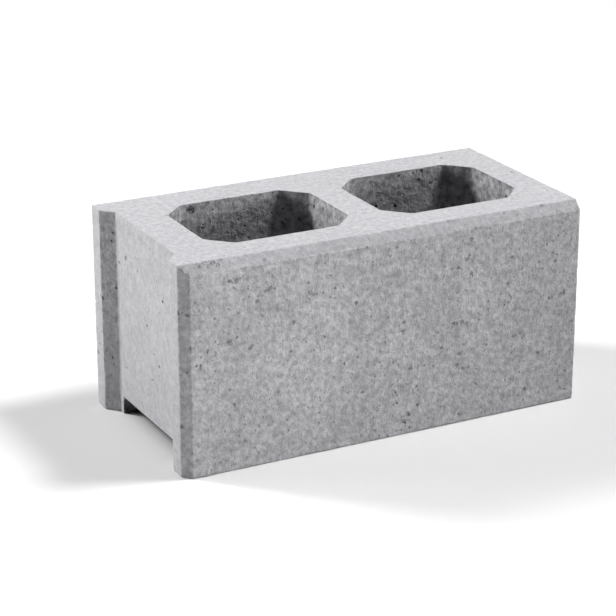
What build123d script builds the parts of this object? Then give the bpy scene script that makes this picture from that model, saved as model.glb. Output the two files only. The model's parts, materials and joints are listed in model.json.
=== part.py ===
"""Hollow concrete block with two cells, one bevelled face, one plain end and one recessed end.

Millimetres, +Z up. The origin is at the middle of the foot, X runs along the length,
the bevelled face looks along -Y and the recessed end along -X.
"""
from build123d import *
from math import radians, sqrt, tan
import os

# Overall size
block_length = 390
block_width = 190
block_height = 190

# Thickness of the concrete at the top bed, where it is greatest
front_shell = 39
back_shell = 37
recessed_end_web = 37
middle_web = 32
plain_end_web = 31

# Cells: the cores that form them have cut corners with eased edges, and they are tapered,
# so the cells widen towards the foot
cell_corner_cut = 21
cell_corner_radius = 9
core_draft = 1.0

# Webs stop short of the foot, so that the block stands on its two shells
web_rise = 16
web_foot_radius = 6

# Recess for mortar in one end, between two flanges with splayed inner sides
recess_depth = 11
flange_land = 16
flange_splay = 45

# Bevel along the top and the recessed end of the front face
face_bevel = 8

# Planes that the rest is measured from
front_face = -block_width / 2
back_face = block_width / 2
recessed_end = -block_length / 2
plain_end = block_length / 2
web_plane = recessed_end + recess_depth

# Cells as they open in the top bed
cell_length = (plain_end - web_plane - recessed_end_web - middle_web - plain_end_web) / 2
cell_width = block_width - front_shell - back_shell
cell_middle_y = (front_face + front_shell + back_face - back_shell) / 2
first_cell_x = web_plane + recessed_end_web + cell_length / 2
cell_pitch = cell_length + middle_web

# What the taper adds on each side between the top bed and the foot
draft_slope = tan(radians(core_draft))
foot_spread = block_height * draft_slope
foot_length = cell_length + 2 * foot_spread
foot_width = cell_width + 2 * foot_spread
foot_corner_cut = cell_corner_cut + (2 - sqrt(2)) * foot_spread
foot_corner_radius = cell_corner_radius + foot_spread

# Where the flanges end, and where their splayed sides reach the web
splay_run = recess_depth / tan(radians(flange_splay))
front_land_end = front_face + face_bevel + flange_land
back_land_end = back_face - flange_land

with BuildPart() as concrete_block:
    # Body: the plan of the block with its recessed end, raised to full height
    with BuildSketch(Plane.XY):
        with BuildLine():
            Polyline(
                (recessed_end, front_face),
                (plain_end, front_face),
                (plain_end, back_face),
                (recessed_end, back_face),
                (recessed_end, back_land_end),
                (web_plane, back_land_end - splay_run),
                (web_plane, front_land_end + splay_run),
                (recessed_end, front_land_end),
                close=True,
            )
        make_face()
    extrude(amount=block_height)

    # Bevel of the front face, mitred where its top edge meets its end edge
    front_edges = concrete_block.faces().sort_by(Axis.Y)[0].edges()
    top_edge = front_edges.filter_by(Axis.X).sort_by(Axis.Z)[-1]
    end_edge = front_edges.filter_by(Axis.Z).sort_by(Axis.X)[0]
    chamfer([top_edge, end_edge], length=face_bevel)

    # Cells: eight-sided openings that narrow from the foot to the top bed
    with BuildSketch(Plane.XY) as cores:
        for cell in range(2):
            with Locations((first_cell_x + cell * cell_pitch, cell_middle_y)):
                Rectangle(foot_length, foot_width)
        chamfer(cores.vertices(), length=foot_corner_cut)
        fillet(cores.vertices(), radius=foot_corner_radius)
    extrude(amount=block_height, taper=core_draft, mode=Mode.SUBTRACT)

    # Foot of the webs: a passage along the block, flush with the inner sides of the shells
    passage_half_foot = foot_width / 2
    passage_half_roof = passage_half_foot - web_rise * draft_slope
    with BuildSketch(Plane.YZ.offset(recessed_end)) as passage:
        with BuildLine():
            Polyline(
                (cell_middle_y - passage_half_foot, 0),
                (cell_middle_y + passage_half_foot, 0),
                (cell_middle_y + passage_half_roof, web_rise),
                (cell_middle_y - passage_half_roof, web_rise),
                close=True,
            )
        make_face()
        fillet(passage.vertices().group_by(Axis.Y)[-1], radius=web_foot_radius)
    extrude(amount=block_length, mode=Mode.SUBTRACT)

concrete_block.part.label = "concrete_block"

os.makedirs("parts", exist_ok=True)
export_step(concrete_block.part, "parts/concrete_block.step")

print("cell at the top bed", round(cell_length, 1), "by", round(cell_width, 1))
print("cell at the foot", round(foot_length, 1), "by", round(foot_width, 1))
print("concrete, litres", round(concrete_block.part.volume / 1e6, 2))
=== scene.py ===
# %% [markdown]
# A hollow concrete block.
# The real block is pressed from stiff, nearly dry concrete in a steel mould, pushed out at once
# and left to harden. The frame below holds its exact shape as one solid. This lesson adds what
# the mould and the handling leave behind: worn arrises, chips, air pores, sand and a grey skin.

# %% Load the frame
import bmesh
import bpy
import json
from math import cos, pi, radians, sin
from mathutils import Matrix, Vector


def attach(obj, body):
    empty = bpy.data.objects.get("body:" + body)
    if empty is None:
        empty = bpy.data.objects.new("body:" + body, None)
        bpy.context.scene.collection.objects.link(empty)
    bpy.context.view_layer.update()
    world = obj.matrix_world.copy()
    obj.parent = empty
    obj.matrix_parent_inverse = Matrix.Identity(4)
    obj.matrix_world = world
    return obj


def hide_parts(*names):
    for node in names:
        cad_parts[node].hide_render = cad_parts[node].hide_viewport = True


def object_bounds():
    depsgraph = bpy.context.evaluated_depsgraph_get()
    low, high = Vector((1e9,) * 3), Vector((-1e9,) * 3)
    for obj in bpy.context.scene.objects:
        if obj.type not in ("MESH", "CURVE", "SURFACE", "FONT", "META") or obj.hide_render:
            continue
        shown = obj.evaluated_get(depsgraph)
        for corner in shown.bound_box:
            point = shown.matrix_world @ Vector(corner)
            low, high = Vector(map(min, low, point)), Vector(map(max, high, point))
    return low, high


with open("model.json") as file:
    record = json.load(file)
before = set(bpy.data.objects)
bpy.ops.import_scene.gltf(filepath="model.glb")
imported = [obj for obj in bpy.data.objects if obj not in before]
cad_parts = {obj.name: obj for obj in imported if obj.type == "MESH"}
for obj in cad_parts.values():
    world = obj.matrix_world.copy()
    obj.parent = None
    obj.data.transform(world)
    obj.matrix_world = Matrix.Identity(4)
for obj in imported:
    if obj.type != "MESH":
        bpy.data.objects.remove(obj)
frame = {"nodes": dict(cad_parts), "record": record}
cad_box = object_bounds()
cast_node = frame["nodes"]["concrete_block"]
MM = 0.001
print("box of the solid in mm:", [[round(v / MM, 1) for v in corner] for corner in cad_box])

# %% [markdown]
# The camera stands in front of the bevelled face and to the left of it, and looks down on the
# block. It stands far away with a long lens, because the block's edges hardly run together in a
# product picture. Its place is worked out from two angles, so that each can be turned by itself.

# %% Camera
view_turn = radians(27.5)
view_tilt = radians(20.5)
view_distance = 2.0
lens_mm = 129.8
sensor_mm = 36
aim_point = Vector((-23.3, 10.5, 91.2)) * MM

looking = Vector((sin(view_turn) * cos(view_tilt), cos(view_turn) * cos(view_tilt), -sin(view_tilt)))
camera_data = bpy.data.cameras.new("camera")
camera_data.lens = lens_mm
camera_data.sensor_width = sensor_mm
camera = bpy.data.objects.new("camera", camera_data)
camera.location = aim_point - looking * view_distance
camera.rotation_euler = looking.to_track_quat("-Z", "Y").to_euler()
bpy.context.scene.collection.objects.link(camera)
bpy.context.scene.camera = camera
print("camera at", [round(v, 3) for v in camera.location])

# %% [markdown]
# Relief needs points to move, and the solid has long thin triangles with points only at its
# corners. A copy is merged into one closed shell, and the Remesh modifier in its sharp mode
# lays an even net over it that still keeps every arris and every flat face in place. The modifier
# halves a cube around the block again and again, which gives cells about 4 mm wide here.

# %% Even skin over the solid
def baked_mesh(obj, name):
    """The mesh that an object shows with its modifiers, as plain data."""
    depsgraph = bpy.context.evaluated_depsgraph_get()
    mesh = bpy.data.meshes.new_from_object(obj.evaluated_get(depsgraph))
    mesh.name = name
    return mesh


def new_object(name, mesh):
    obj = bpy.data.objects.new(name, mesh)
    bpy.context.scene.collection.objects.link(obj)
    return obj


def triangle_count(mesh):
    return sum(len(face.vertices) - 2 for face in mesh.polygons)


merge_distance = 0.001 * MM
cube_halvings = 8
block_in_cube = 0.38

mould_mesh = cast_node.data.copy()
mould_mesh.materials.clear()
shell = bmesh.new()
shell.from_mesh(mould_mesh)
bmesh.ops.remove_doubles(shell, verts=shell.verts, dist=merge_distance)
shell.to_mesh(mould_mesh)
shell.free()
mould_shape = new_object("mould_shape", mould_mesh)

net = mould_shape.modifiers.new("even_net", "REMESH")
net.mode = "SHARP"
net.octree_depth = cube_halvings
net.scale = block_in_cube
net.sharpness = 1.0
net.use_remove_disconnected = False
skin_mesh = baked_mesh(mould_shape, "skin")
mould_shape.modifiers.remove(net)
block_length, block_width = [high - low for low, high in zip(*cad_box)][:2]
cell_mm = block_length / block_in_cube / 2 ** cube_halvings / MM
print("even skin:", triangle_count(skin_mesh), "triangles, in cells of", round(cell_mm, 1), "mm")

# %% [markdown]
# An arris is the line where two faces meet, and it wears first. The wear is about a millimetre
# wide, much narrower than one cell of the net. Cells that touch an arris are divided in half
# twice. Dividing the whole skin would give the same edge at sixteen times the weight.

# %% Finer net along the arrises
arris_angle = radians(25)
divisions = 2

fine = bmesh.new()
fine.from_mesh(skin_mesh)
for division in range(divisions):
    arris_points = set()
    for edge in fine.edges:
        if edge.calc_face_angle_signed() > arris_angle:
            arris_points.update(edge.verts)
    arris_faces = {face for point in arris_points for face in point.link_faces}
    arris_edges = list({edge for face in arris_faces for edge in face.edges})
    bmesh.ops.subdivide_edges(fine, edges=arris_edges, cuts=1, use_grid_fill=True)
    many_sided = [face for face in fine.faces if len(face.verts) > 4]
    bmesh.ops.triangulate(fine, faces=many_sided)
fine.to_mesh(skin_mesh)
fine.free()
skin = new_object("skin", skin_mesh)
print("finer skin:", triangle_count(skin_mesh), "triangles")

# %% [markdown]
# Geometry Nodes and material nodes are wired the same way, so one small helper serves both.
# It adds a node, sets its options, and fills each input with a number or with another node's
# output. Sizes are given in millimetres, the unit in which one would measure a grain of sand.
# Soft noise hardly ever leaves the range from 0.3 to 0.7, so most masks are drawn from that range,
# and narrower ranges give patches with harder borders.

# %% Helper that wires nodes
noise_low = 0.3
noise_high = 0.7


class Wiring:
    """Adds nodes to a tree and links them."""

    def __init__(self, tree):
        self.tree = tree

    def fill(self, socket, value):
        if isinstance(value, bpy.types.NodeSocket):
            self.tree.links.new(value, socket)
        else:
            socket.default_value = value

    def add(self, kind, inputs=None, **options):
        node = self.tree.nodes.new(kind)
        for option, setting in options.items():
            setattr(node, option, setting)
        for name, value in (inputs or {}).items():
            self.fill(self.pick(node.inputs, name), value)
        return node

    def pick(self, sockets, name):
        """The socket with this name that the node's options leave in use."""
        return next(s for s in sockets if s.enabled and name in (s.name, s.identifier))

    def math(self, operation, *values):
        node = self.tree.nodes.new("ShaderNodeMath")
        node.operation = operation
        for socket, value in zip(node.inputs, values):
            self.fill(socket, value)
        return node.outputs[0]

    def total(self, *values):
        result = values[0]
        for value in values[1:]:
            result = self.math("ADD", result, value)
        return result

    def product(self, *values):
        result = values[0]
        for value in values[1:]:
            result = self.math("MULTIPLY", result, value)
        return result

    def vector(self, operation, first, second=None):
        inputs = {"Vector": first}
        if second is not None:
            inputs["Scale" if operation == "SCALE" else "Vector_001"] = second
        return self.add("ShaderNodeVectorMath", inputs, operation=operation).outputs[0]

    def span(self, value, low, high, to_low=0.0, to_high=1.0):
        """Eases a value from one range to another and holds it at both ends."""
        ends = {"Value": value, "From Min": low, "From Max": high, "To Min": to_low, "To Max": to_high}
        return self.add("ShaderNodeMapRange", ends, interpolation_type="SMOOTHSTEP").outputs["Result"]

    def noise(self, place, size, detail=2.0, roughness=0.5, output="Fac"):
        """Soft noise with patches about as wide as the size, in the unit of the place."""
        inputs = {"Vector": place, "Scale": 1 / size, "Detail": detail, "Roughness": roughness}
        return self.add("ShaderNodeTexNoise", inputs).outputs[output]

    def end(self, results):
        """Ends the tree with its outputs, and says how many nodes it took."""
        self.add("NodeGroupOutput", results)
        print(self.tree.name + ":", len(self.tree.nodes), "nodes")


# %% [markdown]
# A tree of Geometry Nodes is a recipe with named inputs. These two helpers start such a tree and
# run it: the inputs are set by their identifiers, the result is baked into a plain mesh, and the
# modifier is taken off again, so that nothing is left to be worked out when the scene is used.

# %% Helpers that start and run a tree
def geometry_tree(name, settings):
    """A tree with one geometry in and out, and a named input for each setting."""
    tree = bpy.data.node_groups.new(name, "GeometryNodeTree")
    tree.interface.new_socket(name="Geometry", in_out="INPUT", socket_type="NodeSocketGeometry")
    for setting, kind in settings.items():
        tree.interface.new_socket(name=setting, in_out="INPUT", socket_type="NodeSocket" + kind)
    tree.interface.new_socket(name="Geometry", in_out="OUTPUT", socket_type="NodeSocketGeometry")
    wiring = Wiring(tree)
    return wiring, wiring.add("NodeGroupInput").outputs


def run_tree(obj, wiring, values, name):
    """Bakes an object's mesh through a tree, with its inputs set by their identifiers."""
    modifier = obj.modifiers.new(wiring.tree.name, "NODES")
    modifier.node_group = wiring.tree
    for item in wiring.tree.interface.items_tree:
        if item.in_out == "INPUT" and item.name in values:
            modifier[item.identifier] = values[item.name]
    mesh = baked_mesh(obj, name)
    obj.modifiers.remove(modifier)
    return mesh


# %% [markdown]
# The cast relief follows the surface everywhere. A curve is drawn along every outward arris of
# the mould shape, and each point of the skin measures how far it is from the nearest one.
# Close to an arris the skin is worn back, most of all in the few millimetres above the floor, and
# where a slow noise peaks a chip has broken off. Everything only goes inwards, because nothing
# on the real block stands proud of its mould.

# %% Tree for the cast relief
relief, given = geometry_tree("cast_relief", {
    "Mould shape": "Object",
    "Arris angle": "Float",
    "Arris wear": "Float",
    "Foot wear": "Float",
    "Wear reach": "Float",
    "Chip depth": "Float",
    "Chip reach": "Float",
    "Chip share": "Float",
    "Chips from": "Vector",
    "Waviness": "Float",
    "Rough grain": "Float",
    "Concrete": "Material",
})
foot_band = (1.0, 4.0)
wear_patch = 11
least_wear = 0.25
chip_spacing = 17
chip_raggedness = 4
ragged_share = 0.25
chip_noise_peak = 0.86
chip_edge = 0.05
wave_size = 70
rough_patch = 5

position = relief.add("GeometryNodeInputPosition").outputs["Position"]
facing = relief.add("GeometryNodeInputNormal").outputs["Normal"]
place = relief.vector("SCALE", position, 1 / MM)

mould_in_tree = relief.add("GeometryNodeObjectInfo", {"Object": given["Mould shape"]})
fold = relief.add("GeometryNodeInputMeshEdgeAngle").outputs["Signed Angle"]
outward = relief.add("FunctionNodeCompare", {"A": fold, "B": given["Arris angle"]}, operation="GREATER_THAN")
arris_curve = relief.add("GeometryNodeMeshToCurve", {
    "Mesh": mould_in_tree.outputs["Geometry"], "Selection": outward.outputs["Result"]})
arris_line = relief.add("GeometryNodeCurveToMesh", {"Curve": arris_curve.outputs["Curve"]})
nearest = relief.add("GeometryNodeProximity", {
    "Geometry": arris_line.outputs["Mesh"], "Sample Position": position}, target_element="EDGES")
from_arris = relief.product(nearest.outputs["Distance"], 1 / MM)

above_floor = relief.add("ShaderNodeSeparateXYZ", {"Vector": place}).outputs["Z"]
wear = relief.span(above_floor, *foot_band, given["Foot wear"], given["Arris wear"])
patchy = relief.span(relief.noise(place, wear_patch), noise_low, noise_high, least_wear, 1.0)
worn = relief.product(relief.span(from_arris, 0.0, given["Wear reach"], 1.0, 0.0), patchy, wear)
chip_place = relief.vector("ADD", place, given["Chips from"])
ragged = relief.total(
    relief.noise(chip_place, chip_spacing, 3.0),
    relief.product(relief.noise(chip_place, chip_raggedness), ragged_share))
chip_line = relief.math("SUBTRACT", chip_noise_peak, given["Chip share"])
chipped = relief.product(
    relief.span(ragged, chip_line, relief.total(chip_line, chip_edge)),
    relief.span(from_arris, 0.0, given["Chip reach"], 1.0, 0.0), given["Chip depth"])
wavy = relief.product(relief.noise(place, wave_size, 1.0), given["Waviness"])
grainy = relief.product(relief.noise(place, rough_patch, 1.0), given["Rough grain"])
depth = relief.total(relief.math("MAXIMUM", worn, chipped), wavy, grainy)
inwards = relief.vector("SCALE", facing, relief.product(depth, -MM))

moved = relief.add("GeometryNodeSetPosition", {"Geometry": given["Geometry"], "Offset": inwards})
marked = relief.add("GeometryNodeStoreNamedAttribute", {
    "Geometry": moved.outputs[0], "Name": "from_arris", "Value": from_arris})
real = relief.add("GeometryNodeRealizeInstances", {"Geometry": marked.outputs[0]})
coated = relief.add("GeometryNodeSetMaterial", {"Geometry": real.outputs[0], "Material": given["Concrete"]})
relief.end({"Geometry": coated.outputs[0]})

# %% [markdown]
# The numbers are kept apart from the recipe, so that others are easily tried. This block is nearly
# new: its arrises have lost a quarter of a millimetre, and few chips have broken off. The foot has
# lost more, because it is set down on rough ground. The finishes are made here without content,
# so that the trees can hand them out, and are filled in when the shape is done.

# %% Bake the cast relief
moulded_face = bpy.data.materials.new("moulded_face")
smooth_end = bpy.data.materials.new("smooth_end")
top_bevel = bpy.data.materials.new("top_bevel")
pressed_bed = bpy.data.materials.new("pressed_bed")
core_wall = bpy.data.materials.new("core_wall")

relief_mesh = run_tree(skin, relief, {
    "Mould shape": mould_shape,
    "Arris angle": arris_angle,
    "Arris wear": 0.25,
    "Foot wear": 0.8,
    "Wear reach": 1.2,
    "Chip depth": 0.9,
    "Chip reach": 3.5,
    "Chip share": 0.03,
    "Chips from": (0.0, 700.0, 0.0),
    "Waviness": 0.25,
    "Rough grain": 0.12,
    "Concrete": moulded_face,
}, "relief")
worn_skin = new_object("worn_skin", relief_mesh)
print("worn skin:", triangle_count(relief_mesh), "triangles")

# %% [markdown]
# Air stays in stiff concrete where it meets the steel, and leaves pores in the skin. Each pore is
# a small lumpy pebble taken out of the skin, so it has a sharp rim and a dark hollow of its own.
# The pores and nicks that show best are listed face by face, and the rest are scattered.
# Lumps draw a pebble in, so it is made a little wider than the hollow it should leave, and its
# middle is sunk a little into the face, which makes the hollow deep enough to look dark. The
# back wall of a cell leans away towards the foot, so the pebbles there follow its slope.

# %% Pores and nicks listed face by face
mounts = {mount["name"]: mount["pos_m"] for mount in frame["record"]["mounts"]}
sunk = 0.12
front_y = mounts["front_face"][1] / MM + sunk
recess_x = mounts["recess_seat"][0] / MM
bed_z = mounts["top_bed"][2] / MM
bevel = 8
back_shell = 37
cell_back_y = mounts["back_face"][1] / MM - back_shell + sunk
cell_slope = 0.0175
lumps_allowance = 1.4

on_the_front = [
    # x, z, width
    (-151, 171, 3.0), (-145, 171, 3.6), (-142, 172, 2.4), (-114, 159, 3.4), (-118, 157, 2.8),
    (-110, 158, 2.2), (-76, 149, 3.4), (-73, 147, 2.8), (-70, 147, 2.0), (-126, 150, 2.4),
    (-152, 118, 3.8), (-151, 116, 2.8), (-145, 121, 2.2), (-92, 125, 2.8), (-133, 109, 2.4),
    (-131, 111, 2.0), (-95, 99, 2.4), (-183, 102, 2.4), (-32, 132, 2.4), (-1, 113, 2.6),
    (15, 106, 2.4), (15, 98, 3.0), (14, 96, 2.4), (78, 154, 3.2), (80, 157, 2.2),
    (66, 96, 2.6), (70, 96, 3.0), (74, 96, 3.2), (79, 94, 2.4), (124, 148, 3.0),
    (130, 73, 3.0), (155, 52, 2.8), (71, 66, 2.6), (70, 56, 3.0), (170, 137, 2.6),
    (82, 172, 2.8), (7, 176, 2.4), (-165, 141, 2.2), (-121, 136, 2.2), (-144, 142, 2.0),
]
on_the_recessed_end = [
    # y, z, width
    (-8, 178, 2.0), (9, 180, 1.8), (-20, 153, 2.0), (37, 138, 1.7), (16, 187, 1.7), (3, 109, 1.8),
]
on_the_bed = [
    # x, y, width
    (163, -15, 2.6), (167, -16, 2.0), (-166, -23, 1.8), (-177, -44, 1.8), (-148, 37, 2.6), (-151, 38, 1.8),
]
nicks_along_the_bevel = [
    # x, distance down the bevel, width
    (-178, 1, 2.6), (-175, 3, 3.4), (-171, 1, 3.8), (-168, 4, 3.0), (-164, 2, 4.2), (-160, 4, 3.2),
    (-156, 1, 3.0), (-118, 6, 2.4), (62, 1, 2.2), (118, 2, 2.4), (158, 1, 3.0),
]
in_the_first_cell = [
    # x, z, width
    (-117, 184, 4.2), (-115, 182, 3.6), (-118, 185, 3.0), (-116, 186, 2.8), (-118, 182, 2.8),
    (-114, 184, 2.6), (-115, 185, 3.0), (-97, 170, 1.8), (-69, 168, 1.8), (-50, 162, 1.8),
]
hollows = [(x, front_y, z, width) for x, z, width in on_the_front]
hollows += [(recess_x, y, z, width) for y, z, width in on_the_recessed_end]
hollows += [(x, y, bed_z, width) for x, y, width in on_the_bed]
hollows += [(x, front_y + bevel - down, bed_z - down, width) for x, down, width in nicks_along_the_bevel]
hollows += [(x, cell_back_y + cell_slope * (bed_z - z), z, width) for x, z, width in in_the_first_cell]

hollow_mesh = bpy.data.meshes.new("chosen_hollows")
hollow_mesh.from_pydata([Vector(hollow[:3]) * MM for hollow in hollows], [], [])
widths = hollow_mesh.attributes.new("pore_width", "FLOAT", "POINT")
widths.data.foreach_set("value", [lumps_allowance * hollow[3] for hollow in hollows])
chosen = new_object("chosen_hollows", hollow_mesh)
print("hollows placed by hand:", len(hollows))

# %% [markdown]
# The scattered pores come from one seed, so they fall in the same places every time. They crowd
# together in patches, as the real ones do where the mix was drier, and most of them are small.
# Each pebble is pressed flat, laid on the skin under it and spun at random. The wide ones are made with more
# faces. The pebbles stay single instances until the cut, so that two that overlap leave one open hollow, and
# any crumb that they cut free is taken away. After the cut, the rim of each pore is marked as a sharp edge,
# and the skin stays smooth. The points of a pore are also marked as far from any arris, so that no finish
# gives them the pale worn line or the painted dark shade line of an arris.

# %% Tree for the air pores
pores, given = geometry_tree("air_pores", {
    "Chosen pores": "Object",
    "Pores each square metre": "Float",
    "Nearest two pores": "Float",
    "Smallest pore": "Float",
    "Largest pore": "Float",
    "Wide from": "Float",
    "Lumpiness": "Float",
    "Crumb points": "Float",
    "Seed": "Int",
    "Moulded face": "Material",
    "Smooth end": "Material",
    "Top bevel": "Material",
    "Pressed bed": "Material",
    "Core wall": "Material",
})
dry_patch_size = 32
dry_patch_range = (0.35, 0.65)
cluster_size = 7
cluster_range = (0.45, 0.65)
thinnest = 0.1
share_on_the_bed = 0.12
bed_slopes = (0.5, 0.9)
lean_to_small = 3.0
pebble_radius = 0.5
lump_size = 0.5
kind_seed = 11
stretch_seed = 7
least_stretch = (0.7, 0.7, 0.25)
most_stretch = (1.5, 1.5, 0.55)
far_from_arris = 100.0
mark_margin = 0.01

position = pores.add("GeometryNodeInputPosition").outputs["Position"]
place = pores.vector("SCALE", position, 1 / MM)
facing = pores.add("GeometryNodeInputNormal").outputs["Normal"]
upward = pores.add("ShaderNodeSeparateXYZ", {"Vector": facing}).outputs["Z"]

dry_patches = pores.span(pores.noise(place, dry_patch_size, 1.0), *dry_patch_range, thinnest, 1.0)
clusters = pores.span(pores.noise(place, cluster_size, 1.0), *cluster_range, thinnest, 1.0)
off_the_bed = pores.span(upward, *bed_slopes, 1.0, share_on_the_bed)
scattered = pores.add("GeometryNodeDistributePointsOnFaces", {
    "Mesh": given["Geometry"], "Distance Min": pores.product(given["Nearest two pores"], MM),
    "Density Max": given["Pores each square metre"],
    "Density Factor": pores.product(dry_patches, clusters, off_the_bed),
    "Seed": given["Seed"]}, distribute_method="POISSON")
draw = pores.add("FunctionNodeRandomValue", {
    "Min": 0.0, "Max": 1.0, "Seed": given["Seed"]}, data_type="FLOAT")
mostly_small = pores.math("POWER", pores.pick(draw.outputs, "Value"), lean_to_small)
random_width = pores.add("ShaderNodeMapRange", {
    "Value": mostly_small, "To Min": given["Smallest pore"], "To Max": given["Largest pore"]})
sized = pores.add("GeometryNodeStoreNamedAttribute", {
    "Geometry": scattered.outputs["Points"], "Name": "pore_width", "Value": random_width.outputs["Result"]})
width = pores.add("GeometryNodeInputNamedAttribute", {"Name": "pore_width"}).outputs["Attribute"]

chosen_in_tree = pores.add("GeometryNodeObjectInfo", {"Object": given["Chosen pores"]})
chosen_points = pores.add("GeometryNodeMeshToPoints", {"Mesh": chosen_in_tree.outputs["Geometry"]})
centres = pores.add("GeometryNodeJoinGeometry")
pores.fill(centres.inputs[0], sized.outputs[0])
pores.fill(centres.inputs[0], chosen_points.outputs[0])

# A pebble is one unit wide until it is scaled to the width of its pore. The list of kinds starts
# with the pebble linked last, so 0 and 1 have 20 faces, and 2 and 3 have 80.
pebble_kinds = pores.add("GeometryNodeGeometryToInstance")
for faces_level, noise_shift in ((2, 0.0), (2, 5.0), (1, 10.0), (1, 15.0)):
    ball = pores.add("GeometryNodeMeshIcoSphere", {"Radius": pebble_radius, "Subdivisions": faces_level})
    elsewhere = pores.vector("ADD", position, (noise_shift, 0.0, 0.0))
    bumpy = pores.noise(elsewhere, lump_size, 1.0, output="Color")
    lumps = pores.vector("SUBTRACT", bumpy, (0.5, 0.5, 0.5))
    pebble = pores.add("GeometryNodeSetPosition", {
        "Geometry": ball.outputs["Mesh"], "Offset": pores.vector("SCALE", lumps, given["Lumpiness"])})
    marked_pebble = pores.add("GeometryNodeStoreNamedAttribute", {
        "Geometry": pebble.outputs[0], "Name": "pore", "Value": 1.0}, domain="FACE")
    pores.fill(pebble_kinds.inputs[0], marked_pebble.outputs[0])
either = pores.add("FunctionNodeRandomValue", {"Min": 0, "Max": 1, "Seed": kind_seed}, data_type="INT")
wide = pores.math("GREATER_THAN", width, given["Wide from"])
kind = pores.total(pores.product(wide, 2.0), pores.pick(either.outputs, "Value"))

skin_under = pores.add("GeometryNodeSampleNearestSurface", {
    "Mesh": given["Geometry"], "Value": facing}, data_type="FLOAT_VECTOR")
flat_on_skin = pores.add("FunctionNodeAlignRotationToVector", {
    "Vector": skin_under.outputs["Value"]}, axis="Z")
spin = pores.add("FunctionNodeRandomValue", {
    "Min": 0.0, "Max": 2 * pi, "Seed": given["Seed"]}, data_type="FLOAT")
spin_round = pores.add("ShaderNodeCombineXYZ", {"Z": pores.pick(spin.outputs, "Value")})
spun = pores.add("FunctionNodeRotateRotation", {
    "Rotation": flat_on_skin.outputs["Rotation"], "Rotate By": spin_round.outputs[0]}, rotation_space="LOCAL")
stretch = pores.add("FunctionNodeRandomValue", {
    "Min": least_stretch, "Max": most_stretch, "Seed": stretch_seed}, data_type="FLOAT_VECTOR")
pebbles = pores.add("GeometryNodeInstanceOnPoints", {
    "Points": centres.outputs[0], "Instance": pebble_kinds.outputs[0],
    "Pick Instance": True, "Instance Index": kind, "Rotation": spun.outputs[0],
    "Scale": pores.vector("SCALE", pores.pick(stretch.outputs, "Value"), pores.product(width, MM))})

unmarked = pores.add("GeometryNodeStoreNamedAttribute", {
    "Geometry": given["Geometry"], "Name": "pore", "Value": 0.0}, domain="FACE")
cut = pores.add("GeometryNodeMeshBoolean", {
    "Mesh 1": unmarked.outputs[0], "Mesh 2": pebbles.outputs[0]}, operation="DIFFERENCE", solver="MANIFOLD")
island = pores.add("GeometryNodeInputMeshIsland").outputs["Island Index"]
island_size = pores.add("GeometryNodeAccumulateField", {"Value": 1.0, "Group ID": island}).outputs["Total"]
crumb = pores.math("LESS_THAN", island_size, given["Crumb points"])
whole = pores.add("GeometryNodeDeleteGeometry", {"Geometry": cut.outputs["Mesh"], "Selection": crumb})
in_pore = pores.add("GeometryNodeInputNamedAttribute", {"Name": "pore"}).outputs["Attribute"]
touches_pore = pores.math("GREATER_THAN", in_pore, mark_margin)
not_rubbed = pores.add("GeometryNodeStoreNamedAttribute", {
    "Geometry": whole.outputs[0], "Selection": touches_pore,
    "Name": "from_arris", "Value": far_from_arris})
rim = pores.product(touches_pore, pores.math("LESS_THAN", in_pore, 1 - mark_margin))
smooth_edges = pores.add("GeometryNodeSetShadeSmooth", {
    "Geometry": not_rubbed.outputs[0], "Shade Smooth": pores.math("SUBTRACT", 1.0, rim)}, domain="EDGE")
smooth_faces = pores.add("GeometryNodeSetShadeSmooth", {
    "Geometry": smooth_edges.outputs[0], "Shade Smooth": True}, domain="FACE")
real = pores.add("GeometryNodeRealizeInstances", {"Geometry": smooth_faces.outputs[0]})

# %% [markdown]
# The faces of a block look different. The long sides slid along the steel as the block was pushed out and are
# roughest. The ends are smoother, and the top bed was pressed by the shoe and is closed and pale. The top
# bevel was pressed by the rim of the shoe and is smooth, and it is painted a little darker as painted shade.
# The walls of the cells and of the passage were torn a little by the cores, and they are painted darker as
# painted shade inside the cells. The tree sets a finish for each, and finds the cells and the passage by the
# openings in the record.

# %% Finishes for the ends, the bed and the cells
wall_margins = {"cell_at_recessed_end": 17, "cell_at_plain_end": 17, "passage_under_webs": 3}
squarely = 0.85
half_upward = 0.4

inside_a_cell = 0.0
for opening in frame["record"]["physics"]["openings"]:
    if opening["name"] in wall_margins:
        low, high = (Vector(corner) for corner in opening["box_m"])
        margin = Vector((wall_margins[opening["name"]] * MM,) * 3)
        aside = pores.vector("SUBTRACT", position, tuple((low + high) / 2))
        within = pores.add("FunctionNodeCompare", {
            "A": pores.vector("ABSOLUTE", aside), "B": tuple((high - low) / 2 + margin)},
            data_type="VECTOR", mode="ELEMENT", operation="LESS_THAN")
        inside_a_cell = pores.math("MAXIMUM", within.outputs["Result"], inside_a_cell)
on_the_top_bed = pores.math("GREATER_THAN", upward, squarely)
lengthwise = pores.add("ShaderNodeSeparateXYZ", {"Vector": facing}).outputs["X"]
on_an_end = pores.math("GREATER_THAN", pores.math("ABSOLUTE", lengthwise), squarely)
spot = pores.add("ShaderNodeSeparateXYZ", {"Vector": place})
on_the_bevel = pores.product(
    pores.math("LESS_THAN", spot.outputs["Y"], front_y + bevel),
    pores.math("GREATER_THAN", spot.outputs["Z"], bed_z - bevel),
    pores.math("GREATER_THAN", upward, half_upward))

finish = real
for selection, label in ((None, "Moulded face"), (on_an_end, "Smooth end"), (on_the_bevel, "Top bevel"),
                         (inside_a_cell, "Core wall"), (on_the_top_bed, "Pressed bed")):
    inputs = {"Geometry": finish.outputs[0], "Material": given[label]}
    if selection:
        inputs["Selection"] = selection
    finish = pores.add("GeometryNodeSetMaterial", inputs)
pores.end({"Geometry": finish.outputs[0]})

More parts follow.
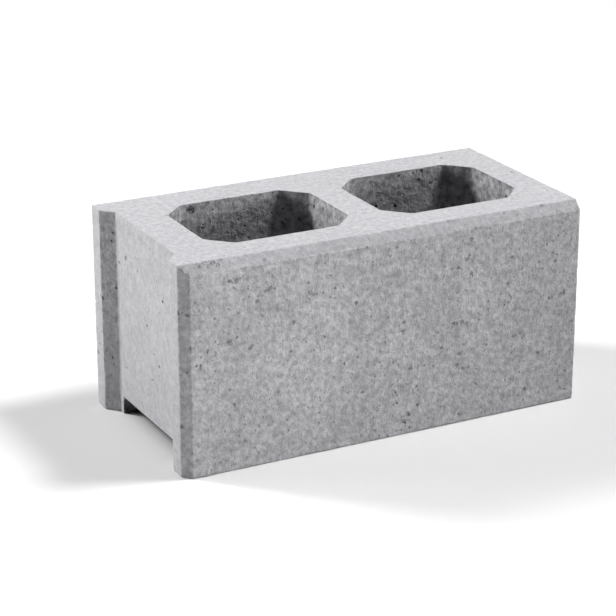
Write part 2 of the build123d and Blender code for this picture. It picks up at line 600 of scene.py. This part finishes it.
# %% [markdown]
# Pores are counted for each square metre and measured in millimetres. The numbers were chosen by
# laying one render after another beside the photograph. After this step the helper objects have
# done their work, and only the finished block stays.

# %% Bake the air pores
block_mesh = run_tree(worn_skin, pores, {
    "Chosen pores": chosen,
    "Pores each square metre": 12000.0,
    "Nearest two pores": 1.6,
    "Smallest pore": 1.4,
    "Largest pore": 4.0,
    "Wide from": 2.6,
    "Lumpiness": 1.0,
    "Crumb points": 1000.0,
    "Seed": 4,
    "Moulded face": moulded_face,
    "Smooth end": smooth_end,
    "Top bevel": top_bevel,
    "Pressed bed": pressed_bed,
    "Core wall": core_wall,
}, "block_with_skin")
block = new_object("block_with_skin", block_mesh)
for helper in (mould_shape, skin, worn_skin, chosen):
    bpy.data.objects.remove(helper)
print("finished block:", triangle_count(block_mesh), "triangles")

# %% [markdown]
# Everything finer than a millimetre or so is left to the material. Each effect is a node group
# with named inputs, built once and placed in every finish with its own values. The sand group
# gives the fine mottling of sand grains just under the cement skin, as a tone and as a height.

# %% Group: sand under the cement skin
def shader_group(name, settings, results):
    """A group with a place input in mm, a number input for each setting, and number outputs."""
    tree = bpy.data.node_groups.new(name, "ShaderNodeTree")
    tree.interface.new_socket(name="Place", in_out="INPUT", socket_type="NodeSocketVector")
    for setting, usual in settings.items():
        socket = tree.interface.new_socket(name=setting, in_out="INPUT", socket_type="NodeSocketFloat")
        socket.default_value = usual
    for result in results:
        tree.interface.new_socket(name=result, in_out="OUTPUT", socket_type="NodeSocketFloat")
    wiring = Wiring(tree)
    return wiring, wiring.add("NodeGroupInput").outputs


sand, given = shader_group("sand", {"Grain": 6.0, "Fineness": 0.75, "Contrast": 0.1, "Height": 0.1},
                           ("Tone", "Height"))
sand_detail = 3.0
sand_spread = 6.0

grains_away = sand.vector("SCALE", given["Place"], sand.math("DIVIDE", 1.0, given["Grain"]))
mottle = sand.noise(grains_away, 1.0, sand_detail, given["Fineness"])
centred = sand.product(sand.math("SUBTRACT", mottle, 0.5), sand_spread)
sand.end({
    "Tone": sand.total(1.0, sand.product(centred, given["Contrast"])),
    "Height": sand.product(centred, given["Height"])})

# %% [markdown]
# Pinholes are air bubbles too small to model, one or two millimetres across. Voronoi cells place
# at most one in each cell, and a random number for the cell decides whether it is there and how
# wide it is. A noise bends their outline, because no two are round.

# %% Group: pinholes
pinholes, given = shader_group("pinholes", {"Spacing": 4.0, "Share": 0.3, "Width": 1.4, "Darkness": 0.3},
                               ("Tone", "Height"))
bend_size = 1.6
patch_size = 26
patch_range = (0.35, 0.65)
patch_share = (0.3, 1.4)
pinhole_widths = (0.5, 1.4)
steep_from = 0.45
pinhole_depth = 0.6

shiver = pinholes.noise(given["Place"], bend_size, 1.0, output="Color")
shiver_both_ways = pinholes.vector("SUBTRACT", shiver, (0.5, 0.5, 0.5))
bent = pinholes.vector("ADD", given["Place"], pinholes.vector("SCALE", shiver_both_ways, bend_size))
holes = pinholes.add("ShaderNodeTexVoronoi", {
    "Vector": bent, "Scale": pinholes.math("DIVIDE", 1.0, given["Spacing"])})
chance = pinholes.add("ShaderNodeSeparateColor", {"Color": holes.outputs["Color"]})
patches = pinholes.span(pinholes.noise(given["Place"], patch_size, 1.0), *patch_range, *patch_share)
present = pinholes.math("LESS_THAN", chance.outputs["Red"], pinholes.product(given["Share"], patches))
how_wide = pinholes.span(chance.outputs["Green"], 0.0, 1.0, *pinhole_widths)
radius = pinholes.product(given["Width"], 0.5, how_wide)
from_middle = pinholes.product(holes.outputs["Distance"], given["Spacing"])
bowl = pinholes.span(from_middle, pinholes.product(radius, steep_from), radius, 1.0, 0.0)
hole = pinholes.product(bowl, present)
# each pinhole is painted darker, as painted shade inside the hole, beside its bump
pinholes.end({
    "Tone": pinholes.math("SUBTRACT", 1.0, pinholes.product(hole, given["Darkness"])),
    "Height": pinholes.product(hole, -pinhole_depth)})

# %% [markdown]
# The sides were scraped upright as the block left the mould, which leaves short faint streaks.
# A noise whose upright direction is squeezed draws them. On the flat bed the upright direction
# does not change, so the same noise gives plain round mottling there.

# %% Group: mould streaks
streaks, given = shader_group("mould_streaks", {"Contrast": 0.08, "Length": 9.0}, ("Tone", "Height"))
streak_width = 1.6
scraped_patch = 40
scraped_range = (0.4, 0.65)
least_scraped = 0.3
streak_height = 0.05

axes = streaks.add("ShaderNodeSeparateXYZ", {"Vector": given["Place"]})
squeezed = streaks.add("ShaderNodeCombineXYZ", {
    "X": axes.outputs["X"], "Y": axes.outputs["Y"],
    "Z": streaks.math("DIVIDE", streaks.product(axes.outputs["Z"], streak_width), given["Length"])})
scrape_noise = streaks.noise(squeezed.outputs[0], streak_width, 1.0)
scrape = streaks.span(scrape_noise, noise_low, noise_high, -1.0, 1.0)
patch_noise = streaks.noise(given["Place"], scraped_patch, 1.0)
where = streaks.span(patch_noise, *scraped_range, least_scraped, 1.0)
scraped = streaks.product(scrape, where)
streaks.end({
    "Tone": streaks.total(1.0, streaks.product(scraped, given["Contrast"])),
    "Height": streaks.product(scraped, streak_height)})

# %% [markdown]
# The cement lies a little thicker or thinner from place to place, and the face is darker or paler
# with it. Two slow noises, one wide and one small, are mixed half and half for these clouds.

# %% Group: cement clouds
clouds, given = shader_group("cement_clouds", {"Contrast": 0.08}, ("Tone",))
wide_cloud = 55
small_cloud = 12

slow = clouds.total(
    clouds.product(clouds.noise(given["Place"], wide_cloud, 1.0), 0.5),
    clouds.product(clouds.noise(given["Place"], small_cloud, 2.0), 0.5))
cloudy = clouds.span(slow, noise_low, noise_high, -1.0, 1.0)
clouds.end({"Tone": clouds.total(1.0, clouds.product(cloudy, given["Contrast"]))})

# %% [markdown]
# A worn arris shows paler than the skin, because the dark cement film has been rubbed off the sand there, and
# the pale line is also a painted highlight for the light that a rounded arris catches. Where the brightening
# is negative, the line is a painted dark shade line instead. The relief stored how far each point is from an
# arris, and this group turns that distance into a patchy pale line.

# %% Group: worn arris and painted edge highlight
arris, given = shader_group("arris_wear_and_edge_light", {"Brightening": 0.08, "Reach": 2.0}, ("Tone",))
rubbed_and_lit_patch = 7
least_rubbed_and_lit = 0.2

distance = arris.add("ShaderNodeAttribute", attribute_name="from_arris").outputs["Fac"]
rubbed_and_lit = arris.product(
    arris.span(distance, 0.0, given["Reach"], 1.0, 0.0),
    arris.span(arris.noise(given["Place"], rubbed_and_lit_patch), noise_low, noise_high, least_rubbed_and_lit, 1.0))
arris.end({"Tone": arris.total(1.0, arris.product(rubbed_and_lit, given["Brightening"]))})

# %% [markdown]
# Inside a pore there is no cement skin and dust collects there, and the pore is also painted darker as
# painted shade, so it is darker than the face around it. The cut has marked the faces of each pore, and this
# group reads the mark.

# %% Group: inside a pore
pore_dust_and_shade, given = shader_group("pore_dust_and_shade", {"Darkness": 0.2}, ("Tone",))
dust_and_shade_patch = 2.5
dust_and_shade_range = (0.5, 1.3)

in_a_pore = pore_dust_and_shade.add("ShaderNodeAttribute", attribute_name="pore").outputs["Fac"]
dust_and_shade_noise = pore_dust_and_shade.noise(given["Place"], dust_and_shade_patch, 1.0)
uneven = pore_dust_and_shade.span(dust_and_shade_noise, noise_low, noise_high, *dust_and_shade_range)
pore_dust_and_shade.end({
    "Tone": pore_dust_and_shade.math("SUBTRACT", 1.0, pore_dust_and_shade.product(in_a_pore, uneven, given["Darkness"]))})

# %% [markdown]
# The walls are painted darker where the passage runs under the raised web, as painted shade. This group
# darkens a wall near the floor and lets it grow paler with height, from a little above the roof of the
# passage upwards.

# %% Group: painted shade at the foot
foot_shade, given = shader_group("foot_shade", {"Darkness": 0.4, "Reach": 60.0}, ("Tone",))
darkest_up_to = 20.0
wander_size = 30
wander = 7.0

height = foot_shade.add("ShaderNodeSeparateXYZ", {"Vector": given["Place"]}).outputs["Z"]
wander_noise = foot_shade.noise(given["Place"], wander_size, 2.0)
wandering = foot_shade.span(wander_noise, noise_low, noise_high, -wander, wander)
foot_shade_amount = foot_shade.span(foot_shade.total(height, wandering), darkest_up_to, given["Reach"], 1.0, 0.0)
foot_shade.end({
    "Tone": foot_shade.math("SUBTRACT", 1.0, foot_shade.product(foot_shade_amount, given["Darkness"]))})

# %% [markdown]
# A finish multiplies the cement's own grey by the tones of all groups, and adds their heights
# into one bump. Concrete is rough and hardly shines, so its roughness is high everywhere.

# %% Finishes
cement_grey = (0.321, 0.318, 0.331)
dull_shine = 0.25
roughness_change = 0.05
tone_range = (0.85, 1.15)


def concrete_finish(material, tone, roughness, values):
    """Wires one concrete finish from the groups, each with its own values."""
    material.use_nodes = True
    wiring = Wiring(material.node_tree)
    shader = material.node_tree.nodes["Principled BSDF"]
    shader.inputs["Specular IOR Level"].default_value = dull_shine
    coordinates = wiring.add("ShaderNodeTexCoord").outputs["Object"]
    place = wiring.vector("SCALE", coordinates, 1 / MM)
    tones = []
    heights = []
    for group, settings in values:
        node = wiring.add("ShaderNodeGroup", node_tree=group.tree)
        wiring.fill(node.inputs["Place"], place)
        for setting, value in settings.items():
            node.inputs[setting].default_value = value
        tones.append(node.outputs["Tone"])
        if "Height" in node.outputs:
            heights.append(node.outputs["Height"])
    grey = tuple(tone * part for part in cement_grey)
    colour = wiring.vector("SCALE", grey, wiring.product(*tones))
    wiring.fill(shader.inputs["Base Color"], colour)
    rough_in_the_dark = wiring.span(
        tones[0], *tone_range, roughness + roughness_change, roughness - roughness_change)
    wiring.fill(shader.inputs["Roughness"], rough_in_the_dark)
    bump = wiring.add("ShaderNodeBump", {"Height": wiring.total(*heights), "Distance": MM, "Strength": 1.0})
    wiring.fill(shader.inputs["Normal"], bump.outputs["Normal"])


concrete_finish(moulded_face, tone=1.0, roughness=0.9, values=[
    (sand, {"Grain": 5.5, "Fineness": 0.72, "Contrast": 0.23, "Height": 0.31}),
    (pore_dust_and_shade, {"Darkness": 0.18}),
    (pinholes, {"Spacing": 4.5, "Share": 0.3, "Width": 2.4, "Darkness": 0.2}),
    (streaks, {"Contrast": 0.03, "Length": 5.0}),
    (clouds, {"Contrast": 0.10}),
    # pale line along the arrises: partly wear, partly a painted highlight
    (arris, {"Brightening": 0.16, "Reach": 1.6})])
concrete_finish(smooth_end, tone=1.0, roughness=0.9, values=[
    (sand, {"Grain": 5.5, "Fineness": 0.75, "Contrast": 0.12, "Height": 0.09}),
    (pore_dust_and_shade, {"Darkness": 0.12}),
    (pinholes, {"Spacing": 5.5, "Share": 0.2, "Width": 1.8, "Darkness": 0.2}),
    (streaks, {"Contrast": 0.03, "Length": 6.0}),
    (clouds, {"Contrast": 0.05}),
    (arris, {"Brightening": 0.06, "Reach": 2.0})])
# tone 0.9: the bevel is painted darker, as painted shade
concrete_finish(top_bevel, tone=0.9, roughness=0.9, values=[
    (sand, {"Grain": 5.5, "Fineness": 0.75, "Contrast": 0.17, "Height": 0.2}),
    (pore_dust_and_shade, {"Darkness": 0.18}),
    (pinholes, {"Spacing": 5.0, "Share": 0.25, "Width": 2.0, "Darkness": 0.2}),
    (streaks, {"Contrast": 0.02, "Length": 5.0}),
    (clouds, {"Contrast": 0.05}),
    (arris, {"Brightening": 0.12, "Reach": 1.6})])
concrete_finish(pressed_bed, tone=1.0, roughness=0.85, values=[
    (sand, {"Grain": 5.0, "Fineness": 0.75, "Contrast": 0.155, "Height": 0.13}),
    (pore_dust_and_shade, {"Darkness": 0.15}),
    (pinholes, {"Spacing": 4.5, "Share": 0.3, "Width": 2.0, "Darkness": 0.16}),
    (streaks, {"Contrast": 0.02, "Length": 9.0}),
    (clouds, {"Contrast": 0.03}),
    (arris, {"Brightening": 0.06, "Reach": 2.0})])
# tone 0.8: the cell and passage walls are painted darker, as painted shade
concrete_finish(core_wall, tone=0.8, roughness=0.95, values=[
    (sand, {"Grain": 6.5, "Fineness": 0.62, "Contrast": 0.42, "Height": 0.22}),
    # pores in the cell walls are painted much darker, as dust and painted shade
    (pore_dust_and_shade, {"Darkness": 0.6}),
    (pinholes, {"Spacing": 5.0, "Share": 0.3, "Width": 2.8, "Darkness": 0.24}),
    (streaks, {"Contrast": 0.03, "Length": 7.0}),
    (clouds, {"Contrast": 0.15}),
    # painted shade: the cell and passage walls grow darker towards the floor
    (foot_shade, {"Darkness": 0.55, "Reach": 90.0}),
    # negative brightening: a painted dark shade line under the arrises of the cell mouths
    (arris, {"Brightening": -0.6, "Reach": 2.0})])
finish_of_faces = [face.material_index for face in block_mesh.polygons]
for index, slot in enumerate(block.material_slots):
    print(slot.material.name, "on", finish_of_faces.count(index), "faces")

# %% [markdown]
# The block stands on a plain pale floor. The floor is painted paler away from the block, as painted light
# where the lamps reach it less, so that it fades to white, and it is painted darker under the block as a
# painted shadow. That also keeps light from coming up into the cells and the passage.

# %% Floor
floor_size = 12.0
pale_from = 0.5
pale_to = 1.2
tone_near = 0.60
tone_far = 0.80
mottle_size = 0.8
mottle_range = (0.99, 1.01)
shadow_edge_under_block = (0.82, 0.96)
shadow_tone_under_block = 0.25
floor_roughness = 0.9

floor_mesh = bpy.data.meshes.new("floor")
half = floor_size / 2
floor_corners = [(-half, -half, 0), (half, -half, 0), (half, half, 0), (-half, half, 0)]
floor_mesh.from_pydata(floor_corners, [], [(0, 1, 2, 3)])
floor = new_object("floor", floor_mesh)
pale_floor = bpy.data.materials.new("pale_floor")
pale_floor.use_nodes = True
floor_wiring = Wiring(pale_floor.node_tree)
floor_place = floor_wiring.add("ShaderNodeTexCoord").outputs["Object"]
how_far = floor_wiring.add("ShaderNodeVectorMath", {"Vector": floor_place}, operation="LENGTH")
from_block = how_far.outputs["Value"]
# painted light: the floor is paler away from the block, where the lamps light it less
paler_away = floor_wiring.span(from_block, pale_from, pale_to, tone_near, tone_far)
floor_noise = floor_wiring.noise(floor_place, mottle_size, 1.0)
faint = floor_wiring.span(floor_noise, noise_low, noise_high, *mottle_range)
footprint = (2 / block_length, 2 / block_width, 1.0)
across = floor_wiring.vector("MULTIPLY", floor_wiring.vector("ABSOLUTE", floor_place), footprint)
halves = floor_wiring.add("ShaderNodeSeparateXYZ", {"Vector": across})
to_the_foot = floor_wiring.math("MAXIMUM", halves.outputs["X"], halves.outputs["Y"])
# painted shadow: the floor is darker under the block
painted_shadow_under_block = floor_wiring.span(to_the_foot, *shadow_edge_under_block, shadow_tone_under_block, 1.0)
floor_shader = pale_floor.node_tree.nodes["Principled BSDF"]
floor_tone = floor_wiring.product(paler_away, faint, painted_shadow_under_block)
floor_wiring.fill(floor_shader.inputs["Base Color"], floor_tone)
floor_shader.inputs["Roughness"].default_value = floor_roughness
floor_mesh.materials.append(pale_floor)
print("floor:", floor_size, "m wide, darker under", round(block_length, 2), "by", round(block_width, 2), "m")

# %% [markdown]
# The shadows tell where the studio's lights stood. One hangs high at the right and makes the bed
# the brightest face. Two stand behind the block at the left: they light the recessed end, rake
# across the long front and draw the upright shadow border in each cell. Two weak narrow beams
# touch the front from the right, so that it loses a little light from left to right.

# %% Lights
light_distance = 3.0
light_size = 0.7
beam_spread = 14
block_middle = (0, 0, 95)
beam_aim = (-250, -90, 200)
sky_strength = 0.02


def soft_light(name, round_to, height, power, spread=180, aim=block_middle):
    """A square area light that faces a point given in mm, from a direction given by two angles."""
    data = bpy.data.lights.new(name, "AREA")
    data.size = light_size
    data.energy = power
    data.spread = radians(spread)
    light = bpy.data.objects.new(name, data)
    turn, rise = radians(round_to), radians(height)
    way = Vector((sin(turn) * cos(rise), -cos(turn) * cos(rise), sin(rise)))
    light.location = way * light_distance + Vector(aim) * MM
    light.rotation_euler = way.to_track_quat("Z", "Y").to_euler()
    bpy.context.scene.collection.objects.link(light)
    print(name, "at", [round(v, 2) for v in light.location])


soft_light("high_right_light", round_to=70, height=60, power=118)
soft_light("left_light", round_to=225, height=35, power=108)
soft_light("low_left_light", round_to=245, height=15, power=33)
soft_light("right_beam", round_to=45, height=8, power=0.8, spread=beam_spread, aim=beam_aim)
soft_light("front_beam", round_to=10, height=4, power=0.36, spread=beam_spread, aim=beam_aim)
world = bpy.data.worlds.new("studio")
world.use_nodes = True
sky = world.node_tree.nodes["Background"]
sky.inputs["Color"].default_value = (1, 1, 1, 1)
sky.inputs["Strength"].default_value = sky_strength
bpy.context.scene.world = world
bpy.context.scene.view_settings.view_transform = "Standard"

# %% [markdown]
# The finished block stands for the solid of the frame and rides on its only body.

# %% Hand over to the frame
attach(block, "root")
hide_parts("concrete_block")
